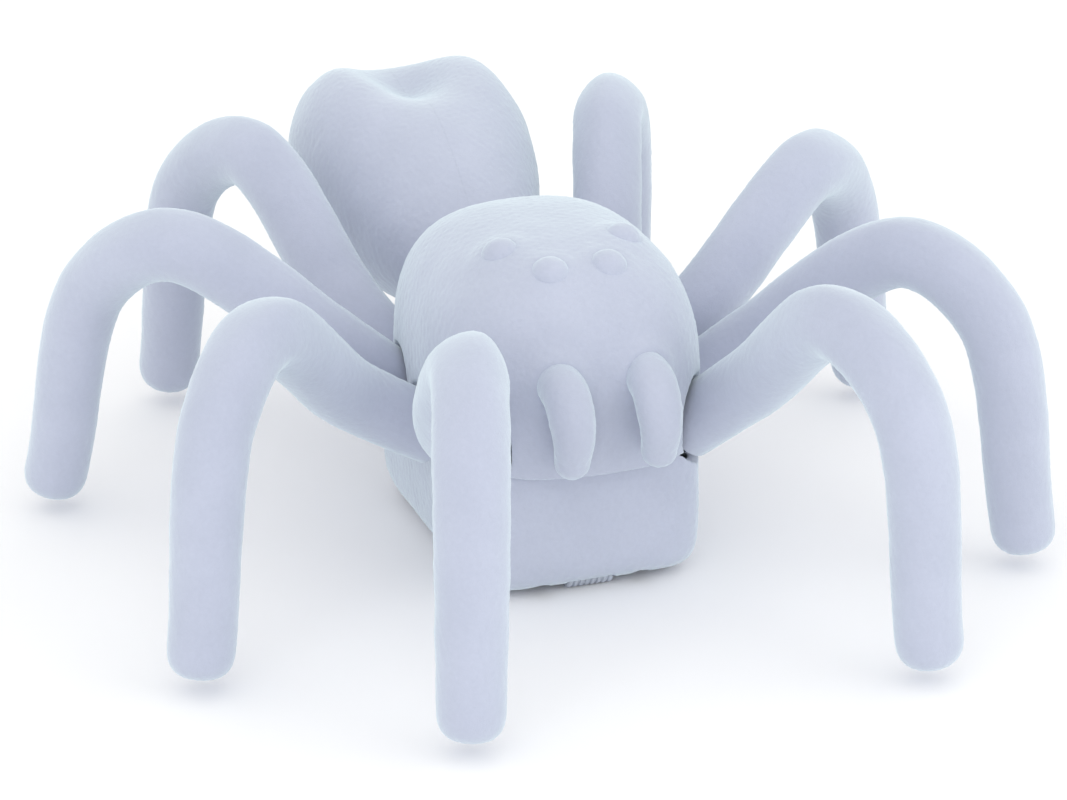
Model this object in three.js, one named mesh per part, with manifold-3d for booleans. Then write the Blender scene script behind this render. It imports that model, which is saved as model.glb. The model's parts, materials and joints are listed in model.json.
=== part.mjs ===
// An eight-legged walking spider robot: a rounded base housing on hidden wheels, a domed
// carapace, a raised abdomen and eight bent legs that row fore and aft on vertical pivots.
// Millimetres, +Z up. The spider faces -Y, and its left side is +X.
import * as THREE from "three";
import { mergeVertices } from "three/addons/utils/BufferGeometryUtils.js";
import Module from "manifold-3d";

const wasm = await Module();
wasm.setup();

// ---------------------------------------------------------------- driving dimensions
const GAP = 0.3; // between neighbouring pieces
const WALL = 1.8; // moulded shells
const SIDES = { left: 1, right: -1 };
// Everything below is laid out from the middle of the housing, and moved by this much
// at the end, so that the origin is under the middle of the whole object.
const LAYOUT_SHIFT_Y = -7.8;

// Housings. The seam between the lower housing and the upper shell is level.
const SEAM_Z = 31.5;
// plan and rise are the powers of their outlines: 2 is an ellipse, and more is squarer.
const BASE = { centre: [0, 2, SEAM_Z], radii: [28, 41, 31], plan: 8, rise: 9 };
const DOME = { centre: [0, -4.5, 43.3], radii: [32, 41, 36.2], plan: 2.7, rise: 2.8 };

// Legs, given for the left side: each path runs from its pivot to the middle of the foot.
const LEG_START_Z = SEAM_Z - 2;
const FOOT_CLEARANCE = 3.5; // the robot stands on its wheels, with its feet just clear
const FOOT_RADIUS = 7.5;
const LEG_ROOT = 6.5; // from the pivot to the end face of the moulded leg
const LEG_SECTION = [7.7, 8.4, 8.6, 8.2, FOOT_RADIUS]; // radius from root to foot
const LEGS = [
  {
    name: "front",
    pivot: [20, -26],
    path: [[35.4, -44.6, 49], [42, -79, 74.4], [49, -101, 61], [52, -107]],
  },
  {
    name: "second",
    pivot: [22, -10.5],
    path: [[47.7, -11.6, 45], [75.5, -37, 72.6], [90, -52, 60], [97, -57]],
  },
  {
    name: "third",
    pivot: [22, 8.5],
    path: [[45, 10.6, 48.5], [78, 27.5, 72], [93.5, 45, 58.5], [103, 53.5]],
  },
  {
    name: "rear",
    pivot: [19, 21.8],
    path: [[32.4, 45, 46], [45.5, 79, 74], [55.8, 100.5, 62], [60.4, 112]],
  },
];

// Leg levers and the two sliding bars that row them.
const LEVER = {
  z0: SEAM_Z + 2.2,
  z1: SEAM_Z + 5.8,
  boss: 3.6,
  post: 1.5,
  pin: 1.1,
  spigot: 2.6,
  reach: 12,
  halfWidth: 2.3,
};
const PIN_X = 12;
const BAR_THICK = 1.6;
const BAR_LINKS = { y: [-18.3, 16.8], half: 1.8 }; // the strips that join a bar's two rails
const BAR_Z = { a: SEAM_Z - 1.8, b: SEAM_Z + 0.2 };
const BAR_TRAVEL = 0.8;
const RAIL = { inner: 9.5, outer: 14.8, front: -30, back: 28.5 };
const LEDGE_TOP = SEAM_Z + 0.9;
const PLATE = { x: 24.5, front: -29.5, back: 28, z0: SEAM_Z + 6.6, z1: SEAM_Z + 8.2 };

// Gear train, all on axes along X. Teeth are coarse, with free running clearance.
const MODULE = 0.8;
const TEETH = { motor: 14, crank: 20, idler: 16, axle: 12 };
const GEAR_X = { from: 15.8, to: 17.8 };
const MOTOR = { y: -7, z: 21.5, width: 12, height: 10, from: -10, to: 13 };
const CENTRE_SLACK = 0.15;
const WHEEL = { y: 26, radius: 7, from: 18.4, to: 21.6 };
const CRANK = { radius: 2.6, throw: 1, x: 8.5, shaft: 1.4 };
const PLATE_X = { from: 13.6, to: 15.1 };

// Cells, electronics, switch and screws.
const CELL = { radius: 5.2, length: 44.5, front: -25.5, x: 5.5, z: 9 };
const HOLDER = { x: 11.8, front: -27.2, back: 20.6, top: 15.3, wall: 0.8 };
const ROLLER = { y: -32, radius: 3.2, half: 5.5, stub: 2.2 };
const SWITCH = { y: 37.4, z: 17, travel: 3 };
const SCREWS = [[12, -34, 5], [9.5, 33, 3]]; // x, y and the underside of the head
const CASE_SCREW = { head: 1.8, headHeight: 1.4, shank: 0.9, top: SEAM_Z + 8 };
const NECK = { radius: 5, z: 46.5, from: 31.6, to: 54 };

// ---------------------------------------------------------------- materials
const LOOKS = {
  flock: { color: 0xc8d1e1, roughness: 0.95, metalness: 0 },
  plastic: { color: 0xaab3c4, roughness: 0.6, metalness: 0 },
  nylon: { color: 0xe8e6dc, roughness: 0.5, metalness: 0 },
  steel: { color: 0xb9bcc0, roughness: 0.3, metalness: 1 },
  rubber: { color: 0x2b2b2e, roughness: 0.9, metalness: 0 },
  board: { color: 0x1f6b45, roughness: 0.5, metalness: 0 },
  cell: { color: 0x3d5a86, roughness: 0.35, metalness: 0.3 },
  black: { color: 0x1b1c1f, roughness: 0.5, metalness: 0 },
};

// ---------------------------------------------------------------- solids and geometry
function solid(geometry) {
  const bare = new THREE.BufferGeometry();
  bare.setAttribute("position", geometry.getAttribute("position"));
  if (geometry.index) bare.setIndex(geometry.index);
  const merged = mergeVertices(bare, 1e-4);
  return new wasm.Manifold(
    new wasm.Mesh({
      numProp: 3,
      vertProperties: merged.attributes.position.array,
      triVerts: new Uint32Array(merged.index.array),
    }),
  );
}

function geometryOf(body) {
  const made = body.getMesh();
  const geometry = new THREE.BufferGeometry();
  geometry.setAttribute("position", new THREE.BufferAttribute(made.vertProperties, 3));
  geometry.setIndex(new THREE.BufferAttribute(made.triVerts, 1));
  geometry.computeVertexNormals();
  return geometry;
}

const join = (bodies) => bodies.reduce((all, one) => all.add(one));
const cut = (body, tools) => tools.reduce((left, one) => left.subtract(one), body);
// Drops the slivers that crossing cuts leave.
const bigger = (one, other) => (other.volume() > one.volume() ? other : one);
const largest = (body) => body.decompose().reduce(bigger);

function box(x, y, z) {
  const size = [x, y, z].map(([low, high]) => high - low);
  const middle = [x, y, z].map(([low, high]) => (low + high) / 2);
  return solid(new THREE.BoxGeometry(...size).translate(...middle));
}

function rod(from, to, radius, sides = 14) {
  const start = new THREE.Vector3(...from);
  const end = new THREE.Vector3(...to);
  const axis = end.clone().sub(start);
  const shape = new THREE.CylinderGeometry(radius, radius, axis.length(), sides);
  const up = new THREE.Vector3(0, 1, 0);
  const turn = new THREE.Quaternion().setFromUnitVectors(up, axis.clone().normalize());
  const middle = start.add(end).multiplyScalar(0.5);
  return solid(shape.applyQuaternion(turn).translate(...middle));
}

const post = ([x, y], z0, z1, radius, sides) => rod([x, y, z0], [x, y, z1], radius, sides);
const shaft = (y, z, x0, x1, radius, sides) => rod([x0, y, z], [x1, y, z], radius, sides);

// A flat outline in the YZ plane, pushed out along X.
function sidePlate(points, x0, x1) {
  const shape = new THREE.Shape(points.map(([y, z]) => new THREE.Vector2(-z, y)));
  const slab = new THREE.ExtrudeGeometry(shape, { depth: x1 - x0, bevelEnabled: false });
  return solid(slab.rotateY(Math.PI / 2).translate(x0, 0, 0));
}

// A sphere pressed towards a box, by the powers of its plan and of its rise.
function roundedBody({ centre, radii, plan, rise }, inset = 0, segments = [32, 18]) {
  const geometry = new THREE.SphereGeometry(1, ...segments).rotateX(Math.PI / 2);
  const at = geometry.getAttribute("position");
  for (let i = 0; i < at.count; i++) {
    const unit = [at.getX(i), at.getY(i), at.getZ(i)];
    const [dx, dy, dz] = unit.map(Math.abs);
    const flat = (dx ** plan + dy ** plan) ** (1 / plan);
    const norm = (flat ** rise + dz ** rise) ** (1 / rise);
    at.setXYZ(i, ...unit.map((part, axis) => centre[axis] + ((radii[axis] - inset) * part) / norm));
  }
  return solid(geometry);
}

// A capsule laid along a curve, with a radius that changes along it.
function limb(curve, radii, grow = 0, segments = { cap: 2, around: 10, along: 12, of: 12 }) {
  const geometry = new THREE.CapsuleGeometry(1, 2, segments.cap, segments.around, segments.along);
  const at = geometry.getAttribute("position");
  const frames = curve.computeFrenetFrames(segments.of, false);
  for (let i = 0; i < at.count; i++) {
    const share = THREE.MathUtils.clamp((at.getY(i) + 1) / 2, 0, 1);
    const beyond = at.getY(i) - (2 * share - 1);
    const step = Math.round(share * segments.along);
    const along = step / segments.of;
    const place = along * (radii.length - 1);
    const low = Math.min(Math.floor(place), radii.length - 2);
    const radius = THREE.MathUtils.lerp(radii[low], radii[low + 1], place - low) + grow;
    const point = curve
      .getPointAt(along)
      .addScaledVector(frames.normals[step], at.getX(i) * radius)
      .addScaledVector(frames.binormals[step], -at.getZ(i) * radius)
      .addScaledVector(frames.tangents[step], beyond * radius);
    at.setXYZ(i, point.x, point.y, point.z);
  }
  return solid(geometry);
}

function smoothPath(points) {
  const corners = points.map((point) => new THREE.Vector3(...point));
  return new THREE.CatmullRomCurve3(corners, false, "centripetal");
}

// ---------------------------------------------------------------- the assembly
const robot = new THREE.Group();

function piece(name, body, look) {
  const mesh = new THREE.Mesh(geometryOf(body), new THREE.MeshStandardMaterial(LOOKS[look]));
  mesh.name = name;
  robot.add(mesh);
}

const tall = [-200, 200];
const mirrored = (body, side) => (side > 0 ? body : body.mirror([1, 0, 0]));
// An extent along X on one side of the middle.
const sideSpan = (side, low, high) => (side > 0 ? [low, high] : [-high, -low]);

// ---------------------------------------------------------------- legs
const leverArm = (leg) => leg.pivot[0] - PIN_X;
const swing = (leg) => THREE.MathUtils.radToDeg(BAR_TRAVEL / leverArm(leg));

function legAxis(leg) {
  const [x, y] = leg.path[0];
  return new THREE.Vector2(x - leg.pivot[0], y - leg.pivot[1]).normalize();
}

// The left leg's solid, cut off square at `root` from the pivot.
function legSolid(leg, grow = 0, root = LEG_ROOT, segments = undefined) {
  const foot = [...leg.path[3], FOOT_CLEARANCE + FOOT_RADIUS];
  const curve = smoothPath([[...leg.pivot, LEG_START_Z], ...leg.path.slice(0, 3), foot]);
  const reach = 40;
  const block = new THREE.BoxGeometry(reach, reach, 3 * reach)
    .translate(root - reach / 2, 0, 0)
    .rotateZ(legAxis(leg).angle())
    .translate(...leg.pivot, LEG_START_Z);
  return limb(curve, LEG_SECTION, grow, segments).subtract(solid(block));
}

// The same solid turned about its pivot.
function swung(body, leg, degrees) {
  const [x, y] = leg.pivot;
  return body.translate([-x, -y, 0]).rotate([0, 0, degrees]).translate([x, y, 0]);
}

// The room that a leg's root sweeps, cut out of both housings.
const legSockets = LEGS.map((leg) => {
  const room = legSolid(leg, 2.5 * GAP, LEG_ROOT - 2.5, { cap: 1, around: 10, along: 3, of: 12 });
  return swung(room, leg, -swing(leg)).add(swung(room, leg, swing(leg)));
});
const bothSockets = legSockets.flatMap((socket) => [socket, mirrored(socket, -1)]);

function spigotEnd(leg, distance) {
  const axis = legAxis(leg).multiplyScalar(distance);
  return [leg.pivot[0] + axis.x, leg.pivot[1] + axis.y, (LEVER.z0 + LEVER.z1) / 2];
}

function legLever(leg, barZ) {
  const half = LEVER.halfWidth;
  const [x, y] = leg.pivot;
  const body = join([
    post(leg.pivot, LEVER.z0, LEVER.z1, LEVER.boss, 14),
    box([PIN_X - half, x - 2], [y - half, y + half], [LEVER.z0, LEVER.z1]),
    post([PIN_X, y], barZ + 0.2, LEVER.z1 - 0.5, LEVER.pin, 8),
    rod(spigotEnd(leg, 1), spigotEnd(leg, LEVER.reach), LEVER.spigot, 8),
  ]);
  return cut(body, [post(leg.pivot, LEVER.z0 - 5, LEVER.z1 + 5, LEVER.post + GAP, 10)]);
}

// Legs alternate between the two bars, and the two sides are in opposite step.
const drivenBy = (index, side) => ((index + (side > 0 ? 0 : 1)) % 2 === 0 ? "a" : "b");

for (const [sideName, side] of Object.entries(SIDES)) {
  LEGS.forEach((leg, index) => {
    const bore = rod(spigotEnd(leg, 0), spigotEnd(leg, LEVER.reach + GAP), LEVER.spigot + GAP, 8);
    piece(`leg_${leg.name}_${sideName}`, mirrored(legSolid(leg).subtract(bore), side), "flock");
    const lever = legLever(leg, BAR_Z[drivenBy(index, side)]);
    piece(`leg_lever_${leg.name}_${sideName}`, mirrored(lever, side), "nylon");
  });
}

// ---------------------------------------------------------------- walking bars
const YOKE = {
  half: CRANK.radius + CRANK.throw + BAR_TRAVEL + GAP,
  y: MOTOR.y + (MODULE * (TEETH.motor + TEETH.crank)) / 2 + CENTRE_SLACK,
  rim: 1.3,
  inner: 7.8,
  outer: 9.2,
  bottom: 16.1,
  slotTop: SEAM_Z - 3.2,
};

function walkingBar(which, yokeSide) {
  const z = [BAR_Z[which], BAR_Z[which] + BAR_THICK];
  const along = [RAIL.front, RAIL.back];
  const railX = [sideSpan(1, RAIL.inner, RAIL.outer), sideSpan(-1, RAIL.inner, RAIL.outer)];
  const rails = railX.map((x) => box(x, along, z));
  const linkX = [-RAIL.inner - 1, RAIL.inner + 1];
  const links = BAR_LINKS.y.map((y) => box(linkX, [y - BAR_LINKS.half, y + BAR_LINKS.half], z));
  const tabX = sideSpan(yokeSide, YOKE.inner, RAIL.inner + 0.6);
  const legX = sideSpan(yokeSide, YOKE.inner, YOKE.outer);
  const tabHalf = YOKE.half + YOKE.rim;
  const tab = [
    box(tabX, [YOKE.y - tabHalf, YOKE.y + tabHalf], z),
    box(legX, [YOKE.y - tabHalf, YOKE.y + tabHalf], [YOKE.bottom, z[1]]),
  ];
  const slots = [];
  for (const side of Object.values(SIDES)) {
    LEGS.forEach((leg, index) => {
      const held = drivenBy(index, side) === which;
      if (which === "a" && !held) return;
      const half = LEVER.pin + (held ? GAP : 2 * BAR_TRAVEL + GAP);
      const x = [side * PIN_X - LEVER.pin - 2 * GAP, side * PIN_X + LEVER.pin + 2 * GAP];
      slots.push(box(x, [leg.pivot[1] - half, leg.pivot[1] + half], tall));
    });
  }
  const yokeY = [YOKE.y - YOKE.half, YOKE.y + YOKE.half];
  slots.push(box(tall, yokeY, [YOKE.bottom + YOKE.rim, YOKE.slotTop]));
  return cut(join([...rails, ...links, ...tab]), slots);
}

piece("walking_bar_a", walkingBar("a", -1), "nylon");
piece("walking_bar_b", walkingBar("b", 1), "nylon");

// ---------------------------------------------------------------- pivot plate and board
const BOARD_Z = PLATE.z1 + 3.7;
const boardTop = BOARD_Z + 1.6;
const boardCorners = [[12, -14], [-12, -14], [12, 10], [-12, 10]];
const pivotsOf = (side) => LEGS.map((leg) => [side * leg.pivot[0], leg.pivot[1]]);
const pivots = Object.values(SIDES).flatMap(pivotsOf);
const pivotPlate = join([
  box([-PLATE.x, PLATE.x], [PLATE.front, PLATE.back], [PLATE.z0, PLATE.z1]),
  ...pivots.map((at) => post(at, LEDGE_TOP + GAP, PLATE.z0 + 0.5, LEVER.post, 10)),
  ...boardCorners.map((at) => post(at, PLATE.z1 - 0.5, BOARD_Z - GAP, 1.8, 8)),
]);
const plateWindows = [
  box([-9, 9], [-24, -17], tall),
  box([-9, 9], [-12, 8], tall),
  box([-9, 9], [13, 24], tall),
];
const domeInside = roundedBody(DOME, WALL + GAP);
piece("pivot_plate", cut(pivotPlate.intersect(domeInside), plateWindows), "nylon");
const chip = box([-5, 5], [-4, 4], [boardTop - 0.5, boardTop + 1.4]);
piece("circuit_board", box([-15, 15], [-17, 13], [BOARD_Z, boardTop]).add(chip), "board");
piece("infrared_receiver", box([-3, 3], [-15, -11], [boardTop + GAP, boardTop + 7]), "black");

// ---------------------------------------------------------------- gear train
function gearOutline(teeth, phase) {
  const pitch = (MODULE * teeth) / 2;
  const [root, tip] = [pitch - 1.05 * MODULE, pitch + 0.8 * MODULE];
  const step = (2 * Math.PI) / teeth;
  const corners = [[-0.27, root], [-0.1, tip], [0.1, tip], [0.27, root]];
  const points = [];
  for (let tooth = 0; tooth < teeth; tooth++) {
    for (const [share, radius] of corners) {
      const angle = phase + (tooth + share) * step;
      points.push([radius * Math.cos(angle), radius * Math.sin(angle)]);
    }
  }
  return points;
}

function gear(teeth, phase, [y, z], bore) {
  const points = gearOutline(teeth, phase).map(([dy, dz]) => [y + dy, z + dz]);
  const blank = sidePlate(points, GEAR_X.from, GEAR_X.to);
  return blank.subtract(shaft(y, z, GEAR_X.from - 1, GEAR_X.to + 1, bore, 14));
}

// The turn that puts a gap of the second gear on a tooth of the first.
function meshedPhase(phase, teeth, nextTeeth, direction) {
  return direction + Math.PI - ((phase - direction) * teeth) / nextTeeth + Math.PI / nextTeeth;
}

const centreDistance = (first, second) => (MODULE * (first + second)) / 2 + CENTRE_SLACK;
const motorAt = [MOTOR.y, MOTOR.z];
const crankAt = [YOKE.y, MOTOR.z];
const axleAt = [WHEEL.y, WHEEL.radius];

// The idler sits above the line from the crankshaft to the axle, in mesh with both.
function idlerPlace() {
  const toCrank = centreDistance(TEETH.crank, TEETH.idler);
  const toAxle = centreDistance(TEETH.idler, TEETH.axle);
  const line = new THREE.Vector2(axleAt[0] - crankAt[0], axleAt[1] - crankAt[1]);
  const along = (toCrank ** 2 - toAxle ** 2 + line.lengthSq()) / (2 * line.length());
  const aside = Math.sqrt(toCrank ** 2 - along ** 2);
  const { x, y } = line.clone().normalize();
  return [crankAt[0] + x * along - y * aside, crankAt[1] + y * along + x * aside];
}

const idlerAt = idlerPlace();
const direction = (from, to) => Math.atan2(to[1] - from[1], to[0] - from[0]);
const motorPhase = direction(motorAt, crankAt);
const crankPhase = meshedPhase(motorPhase, TEETH.motor, TEETH.crank, direction(motorAt, crankAt));
const idlerPhase = meshedPhase(crankPhase, TEETH.crank, TEETH.idler, direction(crankAt, idlerAt));
const axlePhase = meshedPhase(idlerPhase, TEETH.idler, TEETH.axle, direction(idlerAt, axleAt));

const motorShaft = 1.2;
piece("motor_gear", gear(TEETH.motor, motorPhase, motorAt, motorShaft + GAP), "nylon");
piece("crank_gear", gear(TEETH.crank, crankPhase, crankAt, CRANK.shaft + GAP), "nylon");
piece("idler_gear", gear(TEETH.idler, idlerPhase, idlerAt, 1.1 + GAP), "nylon");
piece("axle_gear", gear(TEETH.axle, axlePhase, axleAt, 1 + GAP), "nylon");

const motorBody = box(
  [MOTOR.from, MOTOR.to],
  [MOTOR.y - MOTOR.width / 2, MOTOR.y + MOTOR.width / 2],
  [MOTOR.z - MOTOR.height / 2, MOTOR.z + MOTOR.height / 2],
);
const motorCan = shaft(...motorAt, MOTOR.from, MOTOR.to, 5.8, 20).intersect(motorBody);
const gearHead = box([4, MOTOR.to], [MOTOR.y - 6, MOTOR.y + 6], [MOTOR.z - 5, MOTOR.z + 5]);
piece("gear_motor", motorCan.add(gearHead), "steel");
piece("motor_shaft", shaft(...motorAt, MOTOR.to + GAP, GEAR_X.to + 0.4, motorShaft, 12), "steel");

const eccentrics = [1, -1].map((side) => {
  const extent = [side * CRANK.x - 1.2, side * CRANK.x + 1.2];
  return shaft(crankAt[0] + side * CRANK.throw, crankAt[1], ...extent, CRANK.radius, 16);
});
const crankBar = shaft(...crankAt, -PLATE_X.to - 0.4, GEAR_X.to + 0.4, CRANK.shaft, 14);
piece("crankshaft", join([crankBar, ...eccentrics]), "steel");

// Upright bearing plates on both sides of the cells carry the shafts.
function bearingPlate(x0, x1, bores) {
  const profile = [[-14, 4], [28.5, 4], [28.5, 10.5], [17, 28.6], [-14, 28.6]];
  const holes = bores.map(([[y, z], radius]) => shaft(y, z, x0 - 1, x1 + 1, radius + GAP, 14));
  return cut(sidePlate(profile, x0, x1).intersect(roundedBody(BASE, WALL + GAP)), holes);
}
const commonBores = [[crankAt, CRANK.shaft], [axleAt, 1]];
const idlerStub = shaft(...idlerAt, PLATE_X.from + 0.5, GEAR_X.to + 0.4, 1.1, 12);
const leftPlate = bearingPlate(PLATE_X.from, PLATE_X.to, [...commonBores, [motorAt, 3]]);
piece("bearing_plate_left", leftPlate.add(idlerStub), "plastic");
piece("bearing_plate_right", bearingPlate(-PLATE_X.to, -PLATE_X.from, commonBores), "plastic");

// ---------------------------------------------------------------- wheels and roller
const hubRadius = 4.6;
piece("drive_axle", shaft(...axleAt, -WHEEL.to - 0.5, WHEEL.to + 0.5, 1, 12), "steel");
for (const [sideName, side] of Object.entries(SIDES)) {
  const hub = shaft(...axleAt, WHEEL.from, WHEEL.to, hubRadius, 16);
  const tyre = shaft(...axleAt, WHEEL.from, WHEEL.to, WHEEL.radius, 24);
  const axleBore = shaft(...axleAt, WHEEL.from - 1, WHEEL.to + 1, 1 + GAP, 12);
  const hubBore = shaft(...axleAt, WHEEL.from - 1, WHEEL.to + 1, hubRadius + GAP, 16);
  piece(`drive_wheel_${sideName}`, mirrored(hub.subtract(axleBore), side), "nylon");
  piece(`tyre_${sideName}`, mirrored(tyre.subtract(hubBore), side), "rubber");
}
const rollerAt = [ROLLER.y, ROLLER.radius];
const rollerBore = shaft(...rollerAt, -9, 9, 1 + GAP, 12);
const rollerEnd = ROLLER.half + ROLLER.stub;
const rollerStubs = shaft(...rollerAt, -rollerEnd, rollerEnd, 1, 12);
const rollerDrum = shaft(...rollerAt, -ROLLER.half, ROLLER.half, ROLLER.radius, 24);
piece("front_roller", rollerDrum.add(rollerStubs), "plastic");

// ---------------------------------------------------------------- cells
const cellY = [CELL.front, CELL.front + CELL.length];
for (const [sideName, side] of Object.entries(SIDES)) {
  const [x, nose] = [side * CELL.x, side > 0 ? cellY[0] : cellY[1]];
  const can = rod([x, cellY[0] + 1, CELL.z], [x, cellY[1] - 1, CELL.z], CELL.radius, 20);
  const button = rod([x, nose, CELL.z], [x, nose + (side > 0 ? 2 : -2), CELL.z], 1.9, 12);
  piece(`aaa_cell_${sideName}`, can.add(button), "cell");
}
const holderY = [HOLDER.front, HOLDER.back];
const lug = { y: [HOLDER.back - 0.5, 24.6], x: [-3, 3], z: [3.8, 8.5] };
const coverScrewAt = [0, 22.6];
const holderOuter = [[-HOLDER.x, HOLDER.x], holderY, [3.8, HOLDER.top]];
const holderInner = [
  [HOLDER.wall - HOLDER.x, HOLDER.x - HOLDER.wall],
  [HOLDER.front + HOLDER.wall, HOLDER.back - HOLDER.wall],
  [0, HOLDER.top - HOLDER.wall],
];
const holderBody = box(...holderOuter).add(box(lug.x, lug.y, lug.z));
const holder = cut(holderBody, [box(...holderInner), post(coverScrewAt, 0, 7.6, 1.2, 10)]);
piece("battery_holder", holder, "plastic");
for (const [endName, y] of [["front", HOLDER.front + 1.05], ["rear", HOLDER.back - 1.4]]) {
  piece(`contact_strip_${endName}`, box([-9.5, 9.5], [y, y + 0.35], [5, 13.5]), "steel");
}

const coverBox = [[-12.4, 12.4], [-27.6, 24.8], [0.45, 3.4]];
const grown = (extent, by) => extent.map(([low, high]) => [low - by, high + by]);
const coverHoles = [post(coverScrewAt, 0, 5, 1.3, 12), post(coverScrewAt, 0, 2.8, 2.3, 14)];
piece("battery_cover", cut(box(...coverBox), coverHoles), "plastic");

function screw(at, head, z0, z1, headHeight, shank) {
  return post(at, z0, z0 + headHeight, head, 12).add(post(at, z0 + headHeight / 2, z1, shank, 8));
}
piece("battery_cover_screw", screw(coverScrewAt, 2, 2, 7.2, 0.5, 0.9), "steel");

// ---------------------------------------------------------------- slide switch
const switchBox = [[-6, 6], [SWITCH.y - 2.6, SWITCH.y + 2.4], [SWITCH.z - 3, SWITCH.z + 3]];
const knobHalf = 1.4;
const knobHalfHeight = 1.3;
const knobX = [-SWITCH.travel / 2 - knobHalf, -SWITCH.travel / 2 + knobHalf];
const knobRoom = knobHalf + SWITCH.travel / 2 + GAP;
piece("switch_body", box(...switchBox), "black");
const knobZ = [SWITCH.z - knobHalfHeight, SWITCH.z + knobHalfHeight];
piece("switch_slider", box(knobX, [switchBox[1][1] + GAP, 44.6], knobZ), "black");
const switchSlot = box([-knobRoom, knobRoom], [40, 50], [knobZ[0] - GAP, knobZ[1] + GAP]);

// ---------------------------------------------------------------- housings
const onBothSides = ([x, y, z]) => Object.values(SIDES).map((side) => [side * x, y, z]);
const screwPlaces = SCREWS.flatMap(onBothSides);
const LIP = { thick: 1.8, wide: 1.6 };

// A flat rim that closes one housing where it stands out past the other.
function lip(shape, other, z0) {
  const slab = box(tall, tall, [z0, z0 + LIP.thick]);
  return roundedBody(shape).intersect(slab).subtract(roundedBody(other, LIP.wide));
}

function lowerHousing() {
  const outer = roundedBody(BASE);
  const hollow = roundedBody(BASE, WALL);
  const skin = cut(outer, [hollow, box(tall, tall, [SEAM_Z, 200])]);
  const ledges = Object.values(SIDES).map((side) =>
    box(sideSpan(side, 18.8, 24.6), [PLATE.front, PLATE.back], [SEAM_Z - 0.9, LEDGE_TOP]),
  );
  // A column for each screw, thicker around its counterbore.
  const columns = screwPlaces.flatMap((at) => [
    post(at, 0.5, SEAM_Z, 2.4, 8),
    post(at, 0.5, at[2] + 5, 3, 10),
  ]);
  const rollerCheeks = Object.values(SIDES).map((side) => {
    const x = sideSpan(side, ROLLER.half + 0.4, ROLLER.half + 1.8);
    return box(x, [ROLLER.y - 2.4, ROLLER.y + 2.4], [1.6, 6]);
  });
  const deck = lip(BASE, DOME, SEAM_Z - LIP.thick);
  const shell = skin.add(join(columns).intersect(outer)).add(join(rollerCheeks)).add(deck);
  const wheelSlots = Object.values(SIDES).map((side) => {
    const x = sideSpan(side, GEAR_X.from - 0.6, WHEEL.to + 0.8);
    return box(x, [WHEEL.y - 7.8, WHEEL.y + 7.6], [-1, 14.5]);
  });
  const rollerRoom = ROLLER.radius + 0.4;
  const rollerSlot = box(
    [-ROLLER.half - GAP, ROLLER.half + GAP],
    [ROLLER.y - rollerRoom, ROLLER.y + rollerRoom],
    [-1, 2 * ROLLER.radius + 0.5],
  );
  const screwHoles = screwPlaces.flatMap((at) => [
    post(at, -1, SEAM_Z + 5, 1.3, 8),
    post(at, -1, at[2] + 2, 2.1, 10),
  ]);
  const openings = [...wheelSlots, rollerSlot, rollerBore, ...screwHoles, switchSlot];
  const coverRoom = box(...grown(coverBox, GAP));
  const holderX = [-HOLDER.x - GAP, HOLDER.x + GAP];
  const holderRoom = box(holderX, [HOLDER.front - GAP, lug.y[1] + GAP], [1.5, 20]);
  const cleared = cut(shell, [...openings, coverRoom, holderRoom, ...bothSockets]);
  return largest(cleared.add(join(ledges).intersect(domeInside)));
}
piece("lower_housing", lowerHousing(), "flock");

// Chelicerae and eyes plug into the face of the upper shell.
const faceSegments = { cap: 2, around: 10, along: 4, of: 4 };
const CHELICERA = {
  x: 10.2,
  path: [[-38, 55], [-49.5, 53], [-53.5, 46], [-52.5, 39.5]],
  radii: [4.8, 5.4, 5.2, 4],
};
function chelicera(side, grow) {
  const path = CHELICERA.path.map(([y, z]) => [side * CHELICERA.x, y, z]);
  return limb(smoothPath(path), CHELICERA.radii, grow, faceSegments);
}

const EYES = { inner: [6.8, -28.7, 74.2], outer: [14.3, -17, 75.7] };
const EYE_RADIUS = 4.6;
function eyeBall([x, y, z], side, grow) {
  return solid(new THREE.SphereGeometry(EYE_RADIUS + grow, 12, 7).translate(side * x, y, z));
}

const faceParts = [];
for (const [sideName, side] of Object.entries(SIDES)) {
  faceParts.push(chelicera(side, GAP));
  piece(`chelicera_${sideName}`, chelicera(side, 0), "flock");
  for (const [eyeName, place] of Object.entries(EYES)) {
    faceParts.push(eyeBall(place, side, GAP));
    piece(`eye_${eyeName}_${sideName}`, eyeBall(place, side, 0), "flock");
  }
}

function neckRod(grow) {
  return rod([0, NECK.from - grow, NECK.z], [0, NECK.to + grow, NECK.z], NECK.radius + grow, 18);
}

function upperShell() {
  const outer = roundedBody(DOME);
  const hollow = roundedBody(DOME, WALL);
  const below = box(tall, tall, [-200, SEAM_Z + GAP]);
  const columns = screwPlaces.map((at) => post(at, SEAM_Z + GAP, 70, 2.4, 8));
  const insides = join(columns).intersect(outer);
  const bores = screwPlaces.map((at) => post(at, 0, SEAM_Z + 10, 1.2, 8));
  const rim = lip(DOME, BASE, SEAM_Z + GAP);
  const shell = cut(outer, [hollow, below]).add(insides.subtract(below)).add(rim);
  return largest(cut(shell, [...bores, ...bothSockets, ...faceParts, neckRod(GAP)]));
}
piece("upper_shell", upperShell(), "flock");
for (const [x, y, z] of screwPlaces) {
  const name = `case_screw_${y < 0 ? "front" : "rear"}_${x > 0 ? "left" : "right"}`;
  const { head, headHeight, shank, top } = CASE_SCREW;
  piece(name, screw([x, y], head, z, top, headHeight, shank), "steel");
}

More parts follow.
